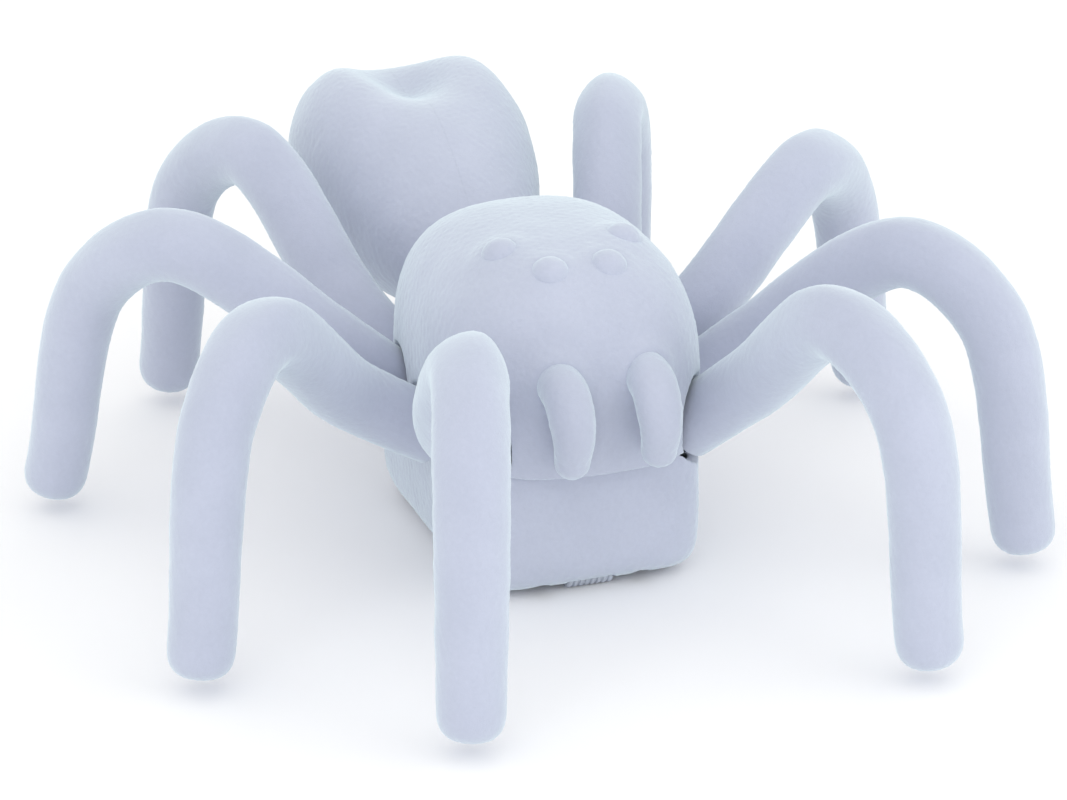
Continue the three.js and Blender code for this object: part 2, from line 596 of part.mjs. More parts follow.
// ---------------------------------------------------------------- abdomen
const ABDOMEN = { middle: 83.5, half: 46.5, width: 29.8, height: 28, neckZ: 46.5, rise: 12, flare: 0.2 };
const DIMPLE = { deep: 8.5, y: 99, halfX: 10, halfY: 15 };
const LOBES = { high: 3.6, x: 20, y: 103, halfX: 9, halfY: 20 };

const hump = (across, along) => Math.exp(-(across ** 2) - along ** 2);

// A teardrop that widens and rises to the rear, with a dimple between two lobes on top.
function abdomenBody(inset, segments = [22, 13]) {
  const geometry = new THREE.SphereGeometry(1, ...segments);
  const at = geometry.getAttribute("position");
  for (let i = 0; i < at.count; i++) {
    const rear = THREE.MathUtils.clamp(at.getY(i), -1, 1);
    const around = Math.atan2(at.getZ(i), at.getX(i));
    const swell = Math.sqrt(1 - rear ** 2) * (0.945 + 0.32 * rear);
    const y = ABDOMEN.middle + (ABDOMEN.half - inset) * rear;
    const lift = Math.sin((Math.min((rear + 1) / 1.4, 1) * Math.PI) / 2);
    const flare = 1 + ABDOMEN.flare * Math.sin(around) * Math.max(rear + 0.4, 0);
    const x = (ABDOMEN.width - inset) * swell * Math.cos(around) * flare;
    const dimple = DIMPLE.deep * hump(x / DIMPLE.halfX, (y - DIMPLE.y) / DIMPLE.halfY);
    const lobe = LOBES.high * hump((Math.abs(x) - LOBES.x) / LOBES.halfX, (y - LOBES.y) / LOBES.halfY);
    const belly = ABDOMEN.neckZ + ABDOMEN.rise * lift;
    const z = belly + (ABDOMEN.height - inset) * swell * Math.sin(around);
    at.setXYZ(i, x, y, z + Math.max(Math.sin(around), 0) * (lobe - dimple));
  }
  return solid(geometry);
}

const abdomenShell = abdomenBody(0).subtract(abdomenBody(WALL)).subtract(neckRod(GAP));
for (const [sideName, side] of Object.entries(SIDES)) {
  const keep = side > 0 ? box([GAP / 2, 200], tall, tall) : box([-200, -GAP / 2], tall, tall);
  piece(`abdomen_${sideName}`, largest(abdomenShell.intersect(keep)), "flock");
}
piece("waist_tube", neckRod(0), "plastic");

robot.position.y = LAYOUT_SHIFT_Y;
export default robot;
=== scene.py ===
"""Looks of the walking spider robot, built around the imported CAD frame. Shapes are worked out in
millimetres, in the layout of the CAD source, and placed in the row frame in metres."""

import json
import math

import bmesh
import bpy
import numpy as np
from mathutils import Matrix, Vector


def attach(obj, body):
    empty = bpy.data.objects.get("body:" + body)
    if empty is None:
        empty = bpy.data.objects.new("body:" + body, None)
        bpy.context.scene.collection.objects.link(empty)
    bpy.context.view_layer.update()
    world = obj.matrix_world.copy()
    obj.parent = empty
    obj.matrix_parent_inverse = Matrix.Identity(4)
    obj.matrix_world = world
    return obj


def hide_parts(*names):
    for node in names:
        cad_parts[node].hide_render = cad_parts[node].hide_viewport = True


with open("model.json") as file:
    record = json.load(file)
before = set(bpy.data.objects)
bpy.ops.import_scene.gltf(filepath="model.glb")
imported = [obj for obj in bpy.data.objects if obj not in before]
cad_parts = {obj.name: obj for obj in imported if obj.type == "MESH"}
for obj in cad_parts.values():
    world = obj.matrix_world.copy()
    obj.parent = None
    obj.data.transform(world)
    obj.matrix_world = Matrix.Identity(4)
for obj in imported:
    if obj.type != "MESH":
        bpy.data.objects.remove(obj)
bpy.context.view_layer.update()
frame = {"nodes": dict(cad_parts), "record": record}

MM = 0.001
SHIFT_Y = -7.8
SIDES = {"left": 1, "right": -1}
RNG = np.random.default_rng(11)

# ------------------------------------------------------------------ dimensions shared with the CAD
GAP = 0.3
WALL = 1.8
SEAM_Z = 31.5
BASE = dict(centre=(0, 2, SEAM_Z), radii=(28, 41, 31), plan=8, rise=9)
DOME = dict(centre=(0, -4.5, 43.3), radii=(32, 41, 36.2), plan=2.7, rise=2.8)
LEG_START_Z = SEAM_Z - 2
FOOT_CLEARANCE = 3.5
FOOT_RADIUS = 7.5
LEG_ROOT = 6.5
LEG_SECTION = (7.7, 8.4, 8.6, 8.2, FOOT_RADIUS)
KNEE = dict(at=0.5, spread=0.17, ridge=0.3)  # shares of the leg's path, and how much its top narrows
# Each left leg's pivot and foot on the floor plan, the bends between them, and its swing in degrees.
LEGS = {
    "front": dict(
        pivot=(20, -26),
        path=((35.4, -44.6, 49), (42, -79, 74.4), (49, -101, 61)),
        foot=(52, -107),
        swing=5.73,
    ),
    "second": dict(
        pivot=(22, -10.5),
        path=((47.7, -11.6, 45), (75.5, -37, 72.6), (90, -52, 60)),
        foot=(97, -57),
        swing=4.59,
    ),
    "third": dict(
        pivot=(22, 8.5),
        path=((45, 10.6, 48.5), (78, 27.5, 72), (93.5, 45, 58.5)),
        foot=(103, 53.5),
        swing=4.59,
    ),
    "rear": dict(
        pivot=(19, 21.8),
        path=((32.4, 45, 46), (45.5, 79, 74), (55.8, 100.5, 62)),
        foot=(60.4, 112),
        swing=6.55,
    ),
}
EYES = {"inner": (6.8, -28.7, 74.2), "outer": (14.3, -17, 75.7)}
EYE_RADIUS = 4.6
CHELICERA = dict(
    x=10.2,
    path=((-38, 55), (-49.5, 53), (-53.5, 46), (-52.5, 39.5)),
    radii=(4.8, 5.4, 5.2, 4),
)
ABDOMEN = dict(middle=83.5, half=46.5, width=29.8, height=28, neck_z=46.5, rise=12, flare=0.2)
FULLNESS = dict(middle=0.945, rear=0.32)  # the abdomen's girth, as shares of its width and height
DIMPLE = dict(deep=8.5, y=99, half_x=10, half_y=15)
LOBES = dict(high=3.6, x=20, y=103, half_x=9, half_y=20)
NECK = dict(radius=5, z=46.5, start=31.6, end=54, wall=1.4, ribs=7)
CASE_SCREWS = {"front": (12, -34, 5), "rear": (9.5, 33, 3)}  # x, y and the underside of the head
CASE_SCREW = dict(high=SEAM_Z + 8, head=1.8, head_height=1.4, shank=0.9)
SCREW_COLUMN = dict(radius=2.4, foot=3, bore=1.3, head_bore=2.1)
WHEEL = dict(y=26, radius=7, start=18.4, end=21.6, rim=4.9, bore=1.2)
ROLLER = dict(y=-32, radius=3.2, half=5.5, stub=2.2, stub_radius=1)
SWITCH = dict(z=17, travel=3, half=1.4, half_height=1.3, back=40.1, front=44.6)
COVER = ((-12.4, 12.4), (-27.6, 24.8), (0.45, 3.4))
COVER_SCREW_AT = (0, 22.6)
COVER_SCREW = dict(low=2, high=7.2, head=2, head_height=0.8, shank=0.9)
COVER_GRIP = dict(grooves=6, pitch=1.9, start=4, half=5.5, narrowing=0.35, radius=0.8)
FAR = 200  # past every side of the object


# ------------------------------------------------------------------ mesh helpers
def new_object(name, vertices, faces):
    """A mesh object from layout millimetres."""
    mesh = bpy.data.meshes.new(name)
    placed = (np.asarray(vertices, float) + (0, SHIFT_Y, 0)) * MM
    mesh.from_pydata(placed.tolist(), [], [tuple(map(int, f)) for f in faces])
    mesh.update()
    made = bpy.data.objects.new(name, mesh)
    bpy.context.scene.collection.objects.link(made)
    return made


def points_of(obj):
    flat = np.empty(len(obj.data.vertices) * 3)
    obj.data.vertices.foreach_get("co", flat)
    return flat.reshape(-1, 3) / MM - (0, SHIFT_Y, 0)


def set_points(obj, points):
    placed = (np.asarray(points) + (0, SHIFT_Y, 0)) * MM
    obj.data.vertices.foreach_set("co", placed.astype(np.float32).ravel())
    obj.data.update()


def normals_of(obj):
    flat = np.empty(len(obj.data.vertices) * 3)
    obj.data.vertices.foreach_get("normal", flat)
    return flat.reshape(-1, 3)


def bake_modifiers(obj):
    """Applies every modifier on obj."""
    graph = bpy.context.evaluated_depsgraph_get()
    baked = bpy.data.meshes.new_from_object(obj.evaluated_get(graph))
    obj.modifiers.clear()
    obj.data = baked
    return obj


def remove(obj):
    bpy.data.objects.remove(obj, do_unlink=True)


def boolean(obj, tools, operation="DIFFERENCE"):
    """Cuts, joins or crosses obj with each tool in turn, and drops the tools."""
    for tool in tools:
        step = obj.modifiers.new("step", "BOOLEAN")
        step.operation = operation
        step.solver = "MANIFOLD"
        step.object = tool
        bake_modifiers(obj)
        remove(tool)
    return obj


def drop_specks(obj):
    """Keeps the largest connected part of obj, and drops the loose grains that a remesh leaves."""
    bm = bmesh.new()
    bm.from_mesh(obj.data)
    unseen, parts = set(bm.verts), []
    while unseen:
        front = [unseen.pop()]
        part = list(front)
        while front:
            near = [edge.other_vert(vert) for vert in front for edge in vert.link_edges]
            front = list(unseen.intersection(near))
            unseen.difference_update(front)
            part += front
        parts.append(part)
    parts.sort(key=len)
    bmesh.ops.delete(bm, geom=[vert for part in parts[:-1] for vert in part], context="VERTS")
    bm.to_mesh(obj.data)
    bm.free()
    return obj


def soften(obj, voxel, rounds):
    """Even small faces, with every edge rounded a little."""
    remesh = obj.modifiers.new("even", "REMESH")
    remesh.mode = "VOXEL"
    remesh.voxel_size = voxel * MM
    smooth = obj.modifiers.new("smooth", "SMOOTH")
    smooth.factor = 0.5
    smooth.iterations = rounds
    return drop_specks(bake_modifiers(obj))


def shade(obj, sharp_degrees=40):
    """Smooth faces, with sharp edges kept where faces meet at a larger angle."""
    bm = bmesh.new()
    bm.from_mesh(obj.data)
    limit = math.radians(sharp_degrees)
    for face in bm.faces:
        face.smooth = True
    for edge in bm.edges:
        if len(edge.link_faces) == 2:
            edge.smooth = edge.calc_face_angle(0) < limit
    bm.to_mesh(obj.data)
    bm.free()
    return obj


def crisp(obj):
    """Clean faces with their edges kept, for small hard pieces."""
    return shade(tidy(obj), 30)


WAVES = {}
PILE_LENGTH = 1.7
LUMP_LENGTH = 11.0


def ripple(points, wavelength, count=28):
    """A smooth random field of about unit size, the same for every piece."""
    if wavelength not in WAVES:
        directions = RNG.normal(size=(count, 3))
        directions /= np.linalg.norm(directions, axis=1)[:, None]
        lengths = wavelength * RNG.uniform(0.75, 1.4, count)
        phases = RNG.uniform(0, 2 * math.pi, count)
        WAVES[wavelength] = (directions * (2 * math.pi / lengths)[:, None], phases)
    waves, phases = WAVES[wavelength]
    return np.sin(points @ waves.T + phases).sum(axis=1) * math.sqrt(2 / count)


def flocked(obj, pile=0.028, lumps=0.045):
    """The nap's raggedness and the moulding's slight unevenness, as real relief."""
    points = points_of(obj)
    height = pile * ripple(points, PILE_LENGTH) + lumps * ripple(points, LUMP_LENGTH)
    set_points(obj, points + normals_of(obj) * height[:, None])
    return shade(obj, 60)


# ------------------------------------------------------------------ shapes
def box(name, x, y, z):
    corners = [(a, b, c) for a in x for b in y for c in z]
    faces = [(0, 1, 3, 2), (4, 6, 7, 5), (0, 4, 5, 1), (2, 3, 7, 6), (0, 2, 6, 4), (1, 5, 7, 3)]
    return new_object(name, corners, faces)


def span(middle, half):
    return (middle - half, middle + half)


def side_span(side, start, end):
    return sorted((side * start, side * end))


def rounded_box(name, x, y, z, bevel, segments=3):
    made = box(name, x, y, z)
    edge = made.modifiers.new("edge", "BEVEL")
    edge.width = bevel * MM
    edge.segments = segments
    edge.limit_method = "NONE"
    return bake_modifiers(made)


def lathe(name, profile, centre, axis, around=48, ripple_at=None):
    """Turns a closed (radius, along) profile about an axis through centre. ripple_at(angle, radius,
    along) may change the radius."""
    axis = np.asarray(axis, float)
    other = np.array((0, 0, 1.0)) if abs(axis[2]) < 0.9 else np.array((0, 1.0, 0))
    u = np.cross(axis, other)
    u /= np.linalg.norm(u)
    v = np.cross(axis, u)
    vertices, faces, count = [], [], len(profile)
    for i in range(around):
        angle = 2 * math.pi * i / around
        for radius, along in profile:
            r = radius if ripple_at is None else ripple_at(angle, radius, along)
            outwards = math.cos(angle) * u + math.sin(angle) * v
            vertices.append(np.asarray(centre) + axis * along + r * outwards)
    for i in range(around):
        for j in range(count):
            a, b = i * count + j, i * count + (j + 1) % count
            c, d = (i + 1) % around * count + (j + 1) % count, (i + 1) % around * count + j
            faces.append((a, b, c, d))
    made = new_object(name, vertices, faces)
    return tidy(made)


def tidy(obj):
    """Merges doubled points, drops empty faces and turns every face outwards."""
    bm = bmesh.new()
    bm.from_mesh(obj.data)
    bmesh.ops.remove_doubles(bm, verts=bm.verts, dist=1e-7)
    bmesh.ops.dissolve_degenerate(bm, edges=bm.edges, dist=1e-7)
    bmesh.ops.recalc_face_normals(bm, faces=bm.faces)
    bm.to_mesh(obj.data)
    bm.free()
    return obj


def rod(name, start, end, radius, around=32):
    start, end = np.asarray(start, float), np.asarray(end, float)
    length = np.linalg.norm(end - start)
    profile = [(0, 0), (radius, 0), (radius, length), (0, length)]
    return lathe(name, profile, start, (end - start) / length, around)


def rounded_body(name, shape, inset=0.0, subdivisions=6):
    """An ellipsoid pressed towards a box by the powers of its plan and of its rise."""
    bm = bmesh.new()
    bmesh.ops.create_icosphere(bm, subdivisions=subdivisions, radius=1)
    unit = np.array([v.co[:] for v in bm.verts])
    faces = [[v.index for v in f.verts] for f in bm.faces]
    bm.free()
    size = np.abs(unit)
    flat = (size[:, 0] ** shape["plan"] + size[:, 1] ** shape["plan"]) ** (1 / shape["plan"])
    norm = (flat ** shape["rise"] + size[:, 2] ** shape["rise"]) ** (1 / shape["rise"])
    points = np.asarray(shape["centre"]) + (np.asarray(shape["radii"]) - inset) * unit / norm[:, None]
    return new_object(name, points, faces)


def smooth_path(points, steps=60):
    """A centripetal Catmull-Rom curve through points, at even steps of its length."""
    p = np.asarray(points, float)
    p = np.vstack([2 * p[0] - p[1], p, 2 * p[-1] - p[-2]])
    dense = []
    for i in range(len(p) - 3):
        p0, p1, p2, p3 = p[i : i + 4]
        d0, d1, d2 = (math.sqrt(np.linalg.norm(b - a)) for a, b in ((p0, p1), (p1, p2), (p2, p3)))
        m1 = ((p1 - p0) / d0 - (p2 - p0) / (d0 + d1) + (p2 - p1) / d1) * d1
        m2 = ((p2 - p1) / d1 - (p3 - p1) / (d1 + d2) + (p3 - p2) / d2) * d1
        for t in np.linspace(0, 1, steps, endpoint=False):
            a, b = 2 * t**3 - 3 * t**2 + 1, t**3 - 2 * t**2 + t
            dense.append(a * p1 + b * m1 + (1 - a) * p2 + (t**3 - t**2) * m2)
    dense.append(p[-2])
    dense = np.array(dense)
    run = np.concatenate([[0], np.cumsum(np.linalg.norm(np.diff(dense, axis=0), axis=1))])
    return dense, run


def along_path(points, count, start=0.0, end=1.0):
    dense, run = smooth_path(points)
    wanted = np.linspace(start, end, count) * run[-1]
    return np.stack([np.interp(wanted, run, dense[:, k]) for k in range(3)], axis=1), run[-1]


def limb(
    name, points, radii, grow=0.0, start=0.0, end=1.0,
    steps=90, around=56, blunt=2.5, cap_start=False, ridge=0.0,
):
    """A tube along a smooth path, with a blunt rounded end. A flat end closes its start, unless
    cap_start rounds that too. ridge narrows the upper side of the knee."""
    centres, _ = along_path(points, steps, start, end)
    share = np.linspace(start, end, steps)
    knots = np.linspace(0, 1, len(radii))
    radius = np.interp(share, knots, radii)
    kernel = np.hanning(2 * (steps // 9) + 1)
    padded = np.pad(radius, len(kernel) // 2, mode="edge")
    radius = np.convolve(padded, kernel / kernel.sum(), mode="valid") + grow
    narrowing = ridge * np.exp(-(((share - KNEE["at"]) / KNEE["spread"]) ** 2))
    tangents = np.gradient(centres, axis=0)
    tangents /= np.linalg.norm(tangents, axis=1)[:, None]
    caps = np.sin(np.linspace(0, math.pi / 2, 12)[1:])
    rings = list(zip(centres, tangents, radius, narrowing))
    (first, back, r_first, _), (last, ahead, r_last, _) = rings[0], rings[-1]
    for s in caps:
        rings.append((last + ahead * s * r_last, ahead, r_last * (1 - s**blunt) ** (1 / blunt), 0))
        if cap_start:
            rings.insert(0, (first - back * s * r_first, back, r_first * (1 - s**2) ** 0.5, 0))
    side = np.cross(rings[0][1], (0, 0, 1))
    side /= np.linalg.norm(side)
    vertices = []
    angles = np.linspace(0, 2 * math.pi, around, endpoint=False)
    for centre, tangent, r, narrow in rings:
        side = side - tangent * (side @ tangent)
        side /= np.linalg.norm(side)
        up = np.cross(side, tangent)
        across = np.cos(angles) * (1 - narrow * np.maximum(np.sin(angles), 0) ** 1.5)
        vertices.append(centre + r * (across[:, None] * side + np.sin(angles)[:, None] * up))
    grid = np.arange(len(rings) * around).reshape(len(rings), around)
    faces = []
    for low, high in zip(grid[:-1], grid[1:]):
        faces += list(zip(low, np.roll(low, -1), np.roll(high, -1), high))
    vertices = np.vstack(vertices)
    faces += [tuple(grid[0][::-1]), tuple(grid[-1])]
    return tidy(new_object(name, vertices, faces))


def mirrored(points, side):
    return [(side * p[0], *p[1:]) for p in points]


# ------------------------------------------------------------------ camera
CAMERA_AT = (-0.30996, -0.92765, 0.41674)
CAMERA_TURN = (68.438, 0.753, -18.838)  # degrees about x, y and z
SENSOR = 36.0
FOCAL_IN_WIDTHS = 4500 / 1067

camera = bpy.data.objects.new("camera", bpy.data.cameras.new("camera"))
bpy.context.scene.collection.objects.link(camera)
camera.location = CAMERA_AT
camera.rotation_euler = [math.radians(angle) for angle in CAMERA_TURN]
camera.data.sensor_width = SENSOR
camera.data.lens = SENSOR * FOCAL_IN_WIDTHS
camera.data.clip_start = 0.05
camera.data.clip_end = 20
bpy.context.scene.camera = camera


# ------------------------------------------------------------------ materials
def material(name, **sockets):
    """A Principled material, with its node tree's helpers: add(kind, **inputs) and link(a, b)."""
    made = bpy.data.materials.new(name)
    made.use_nodes = True
    tree = made.node_tree
    shader = tree.nodes["Principled BSDF"]
    for key, value in sockets.items():
        shader.inputs[key.replace("_", " ").title().replace("Ior", "IOR")].default_value = value

    def add(kind, **inputs):
        node = tree.nodes.new("ShaderNode" + kind)
        for key, value in inputs.items():
            target = node.inputs.get(key)
            if target is None:
                setattr(node, key, value)
            else:
                target.default_value = value
        return node

    def link(start, end):
        tree.links.new(start, end)

    return made, shader, add, link


def ramp(add, link, source, stops):
    """Colours laid along a value."""
    node = add("ValToRGB")
    while len(node.color_ramp.elements) < len(stops):
        node.color_ramp.elements.new(0.5)
    for element, (place, colour) in zip(node.color_ramp.elements, stops):
        element.position = place
        element.color = (*colour, 1)
    link(source, node.inputs["Fac"])
    return node.outputs["Color"]


def noise(add, link, scale, detail=4.0, roughness=0.55):
    place = add("TexCoord")
    node = add("TexNoise", Scale=scale, Detail=detail, Roughness=roughness)
    link(place.outputs["Object"], node.inputs["Vector"])
    return node.outputs["Fac"]


def bump(add, link, shader, height, distance, strength=1.0, under=None):
    node = add("Bump", Distance=distance, Strength=strength)
    link(height, node.inputs["Height"])
    if under is not None:
        link(under, node.inputs["Normal"])
    link(node.outputs["Normal"], shader.inputs["Normal"])
    return node.outputs["Normal"]


def flock(name, pale, deep):
    """Short upright fibres: soft patches where the nap leans, single fibres as fine grain."""
    made, shader, add, link = material(name, roughness=0.95, sheen_weight=1.0, sheen_roughness=0.5)
    shader.inputs["Sheen Tint"].default_value = (0.84, 0.96, 0.98, 1)
    shader.inputs["Specular IOR Level"].default_value = 0.18
    patches = noise(add, link, 55, 3.0, 0.5)
    nap = noise(add, link, 900, 5.0, 0.7)
    mix = add("Math", operation="MULTIPLY_ADD")
    mix.inputs[1].default_value = 0.45
    link(nap, mix.inputs[0])
    share = add("Math", operation="MULTIPLY")
    share.inputs[1].default_value = 0.55
    link(patches, share.inputs[0])
    link(share.outputs[0], mix.inputs[2])
    colour = ramp(add, link, mix.outputs[0], ((0.36, deep), (0.64, pale)))
    link(colour, shader.inputs["Base Color"])
    fibres = noise(add, link, 2600, 2.0, 0.6)
    under = bump(add, link, shader, nap, 0.00016, 0.5)
    bump(add, link, shader, fibres, 0.00012, 0.5, under)
    return made


def moulded(name, colour, roughness=0.5, grain=1400, depth=0.00006):
    """Moulded plastic with a fine spark-eroded grain."""
    made, shader, add, link = material(name, roughness=roughness)
    clouds = noise(add, link, 90, 3.0)
    dark = tuple(0.88 * c for c in colour)
    link(ramp(add, link, clouds, ((0.3, dark), (0.7, colour))), shader.inputs["Base Color"])
    fine = noise(add, link, grain, 3.0)
    bump(add, link, shader, fine, depth, 0.7)
    level = add("MapRange")
    link(noise(add, link, 200), level.inputs["Value"])
    level.inputs["To Min"].default_value = roughness - 0.08
    level.inputs["To Max"].default_value = roughness + 0.1
    link(level.outputs[0], shader.inputs["Roughness"])
    return made


def turned_steel(name, colour, roughness=0.28):
    """Bright metal with fine drawn lines and faint stains."""
    made, shader, add, link = material(name, metallic=1.0, roughness=roughness)
    place = add("TexCoord")
    stretch = add("Mapping")
    stretch.inputs["Scale"].default_value = (1, 14, 14)
    link(place.outputs["Object"], stretch.inputs["Vector"])
    lines = add("TexNoise", Scale=420, Detail=4)
    link(stretch.outputs[0], lines.inputs["Vector"])
    stains = noise(add, link, 160, 4.0)
    dark = tuple(0.72 * c for c in colour)
    link(ramp(add, link, stains, ((0.25, dark), (0.6, colour))), shader.inputs["Base Color"])
    level = add("MapRange")
    link(lines.outputs["Fac"], level.inputs["Value"])
    level.inputs["To Min"].default_value = roughness - 0.1
    level.inputs["To Max"].default_value = roughness + 0.14
    link(level.outputs[0], shader.inputs["Roughness"])
    bump(add, link, shader, lines.outputs["Fac"], 0.00002, 0.4)
    return made


def striped(name, colours, scale, roughness):
    """Bands with soft mottling, for printed sleeves and the board's tracks."""
    made, shader, add, link = material(name, roughness=roughness)
    place = add("TexCoord")
    bands = add("TexWave", Scale=scale, Distortion=1.5, Detail=2.0)
    bands.bands_direction = "Y"
    link(place.outputs["Object"], bands.inputs["Vector"])
    tone = ramp(add, link, bands.outputs["Fac"], ((0.35, colours[0]), (0.5, colours[1])))
    link(tone, shader.inputs["Base Color"])
    bump(add, link, shader, noise(add, link, 700), 0.00003, 0.5)
    return made


LOOKS = {
    "flocked_shell": flock("flock_shell", (0.5, 0.53, 0.64), (0.46, 0.49, 0.595)),
    "flocked_leg": flock("flock_leg", (0.485, 0.515, 0.63), (0.445, 0.475, 0.585)),
    "grey_plastic": moulded("grey_plastic", (0.5, 0.54, 0.62), 0.52),
    "nylon": moulded("nylon", (0.78, 0.76, 0.69), 0.42, 700, 0.00004),
    "steel": turned_steel("zinc_steel", (0.62, 0.63, 0.65)),
    "tyre_rubber": moulded("tyre_rubber", (0.028, 0.028, 0.031), 0.78, 1800, 0.0001),
    "circuit_board": striped("circuit_board", ((0.012, 0.11, 0.05), (0.02, 0.17, 0.075)), 260, 0.38),
    "cell_can": striped("cell_sleeve", ((0.035, 0.07, 0.16), (0.42, 0.45, 0.5)), 9, 0.32),
    "black_plastic": moulded("black_plastic", (0.03, 0.031, 0.034), 0.45),
}
slot_of = {row["node"]: row["material_slot"] for row in frame["record"]["subparts"]}


def dress(obj, slot):
    obj.data.materials.clear()
    obj.data.materials.append(LOOKS[slot])
    return obj


def place(obj, slot, body, *nodes):
    """Gives a finished piece its look and its body, and hides the CAD nodes that it stands for."""
    dress(obj, slot)
    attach(obj, body)
    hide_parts(*nodes)
    return obj


for node_name, node in frame["nodes"].items():
    look = LOOKS[slot_of[node_name]]
    if not node.data.materials:
        node.data.materials.append(look)
    for slot_index in range(len(node.data.materials)):
        node.data.materials[slot_index] = look


# ------------------------------------------------------------------ legs
NAP_ROOM = 0.08  # how far the legs' smooth skin lies inside their CAD solids, to leave room for the nap
SOCKET_ROOM = 0.62  # the gap between a leg's root and its socket
SOCKET_END = 0.36  # the share of the leg's path that the socket is cut along


def leg_points(leg, side=1):
    foot = (*leg["foot"], FOOT_CLEARANCE + FOOT_RADIUS)
    return mirrored([(*leg["pivot"], LEG_START_Z), *leg["path"], foot], side)


def leg_start(leg):
    """The share of the leg's path that lies inside LEG_ROOT of its pivot."""
    dense, run = smooth_path(leg_points(leg))
    axis = np.array(leg["path"][0][:2]) - leg["pivot"]
    axis /= np.linalg.norm(axis)
    out = (dense[:, :2] - leg["pivot"]) @ axis
    return float(run[np.argmax(out > LEG_ROOT)] / run[-1])


def socket_tools(side):
    """The room that the roots of one side's legs sweep."""
    tools = []
    for leg in LEGS.values():
        coarse = dict(start=leg_start(leg) - 0.012, end=SOCKET_END, steps=26, around=40, blunt=2.0)
        for turned in (-1, 0, 1):
            tool = limb("socket", leg_points(leg), LEG_SECTION, SOCKET_ROOM, **coarse)
            points = points_of(tool) - (*leg["pivot"], 0)
            swing = np.array(Matrix.Rotation(math.radians(-turned * leg["swing"]), 3, "Z"))
            set_points(tool, (points @ swing + (*leg["pivot"], 0)) * (side, 1, 1))
            tools.append(tidy(tool))
    return tools


for side_name, side in SIDES.items():
    for leg_name, leg in LEGS.items():
        whole = f"leg_{leg_name}_{side_name}"
        fine = dict(start=leg_start(leg), steps=190, around=96, blunt=2.8, ridge=KNEE["ridge"])
        made = limb(f"{whole}_flocked", leg_points(leg, side), LEG_SECTION, -NAP_ROOM, **fine)
        place(flocked(made), "flocked_leg", whole, whole)


# ------------------------------------------------------------------ housings
HOUSING_VOXEL = 0.45
LIP_WIDTH = 1.6
SUNK = 0.9  # how far the shell's skin reaches into the eyes and chelicerae
EYE_HILL = dict(high=0.65, fade=2.8)
CHELICERA_HILL = dict(high=1.3, fade=2.4)
FACE_NAP_ROOM = 0.05
CHEEK = dict(thick=1.4, gap=0.4, half_y=2.4, z=(1.6, 6))


def posts(places, low, high, radius):
    return [rod("post", (x, y, low), (x, y, high), radius) for x, y in places]


def both_sides(x, y):
    return [(side * x, y) for side in SIDES.values()]


def slab(low, high):
    """A level layer that reaches past every side of the object."""
    return box("slab", (-FAR, FAR), (-FAR, FAR), (low, high))


def eye_ball(name, centre, radius):
    return rounded_body(name, dict(centre=centre, radii=(radius,) * 3, plan=2, rise=2), subdivisions=5)


def chelicera_path(side):
    return [(side * CHELICERA["x"], y, z) for y, z in CHELICERA["path"]]


def chelicera(name, side, grow):
    path, radii = chelicera_path(side), CHELICERA["radii"]
    return limb(name, path, radii, grow, steps=70, around=56, blunt=2.2, cap_start=True)


def hill(away, radius, high, fade):
    """A slope that is highest within radius and fades past it."""
    return high * np.exp(-((np.maximum(away - radius, 0) / fade) ** 2))


def blend_hills(obj):
    """Raises the shell softly round the roots of the eyes and the chelicerae."""
    points = points_of(obj)
    height = np.zeros(len(points))
    for side in SIDES.values():
        for x, y, z in EYES.values():
            away = np.linalg.norm(points - (side * x, y, z), axis=1)
            height += hill(away, EYE_RADIUS, **EYE_HILL)
        centres, _ = along_path(chelicera_path(side), 40)
        away = np.linalg.norm(points[:, None, :] - centres[None], axis=2).min(axis=1)
        height += hill(away, CHELICERA["radii"][0], **CHELICERA_HILL)
    set_points(obj, points + normals_of(obj) * height[:, None])
    return obj


def all_sockets():
    return [tool for side in SIDES.values() for tool in socket_tools(side)]


def lip(shape, other, low):
    """A flat rim that closes one housing where it stands out past the other."""
    made = rounded_body("lip", shape, 0.2, 5)
    boolean(made, [slab(low, low + WALL)], "INTERSECT")
    return boolean(made, [rounded_body("inside", other, LIP_WIDTH, 5)])


def upper_shell():
    made = blend_hills(rounded_body("upper_shell_flocked", DOME))
    boolean(made, [rounded_body("hollow", DOME, WALL, 5), slab(-FAR, SEAM_Z + GAP)])
    boolean(made, [lip(DOME, BASE, SEAM_Z + GAP)], "UNION")
    cutters = all_sockets()
    for side in SIDES.values():
        cutters.append(chelicera("cutter", side, -SUNK))
        for x, y, z in EYES.values():
            cutters.append(eye_ball("cutter", (side * x, y, z), EYE_RADIUS - SUNK))
    ends = [(0, y, NECK["z"]) for y in (NECK["start"] - 2, NECK["end"])]
    cutters.append(rod("cutter", *ends, NECK["radius"] + GAP))
    boolean(made, cutters)
    return flocked(soften(made, HOUSING_VOXEL, 3))


def screw_columns():
    columns = []
    for x, y, head in CASE_SCREWS.values():
        columns += posts(both_sides(x, y), 0.5, SEAM_Z, SCREW_COLUMN["radius"])
        columns += posts(both_sides(x, y), 0.5, head + 5, SCREW_COLUMN["foot"])
    for column in columns:
        boolean(column, [rounded_body("hull", BASE, 0, 5)], "INTERSECT")
    return columns


def roller_cheeks():
    cheeks = []
    inner, y = ROLLER["half"] + CHEEK["gap"], span(ROLLER["y"], CHEEK["half_y"])
    for side in SIDES.values():
        x = side_span(side, inner, inner + CHEEK["thick"])
        cheeks.append(rounded_box("cheek", x, y, CHEEK["z"], 0.4))
    return cheeks


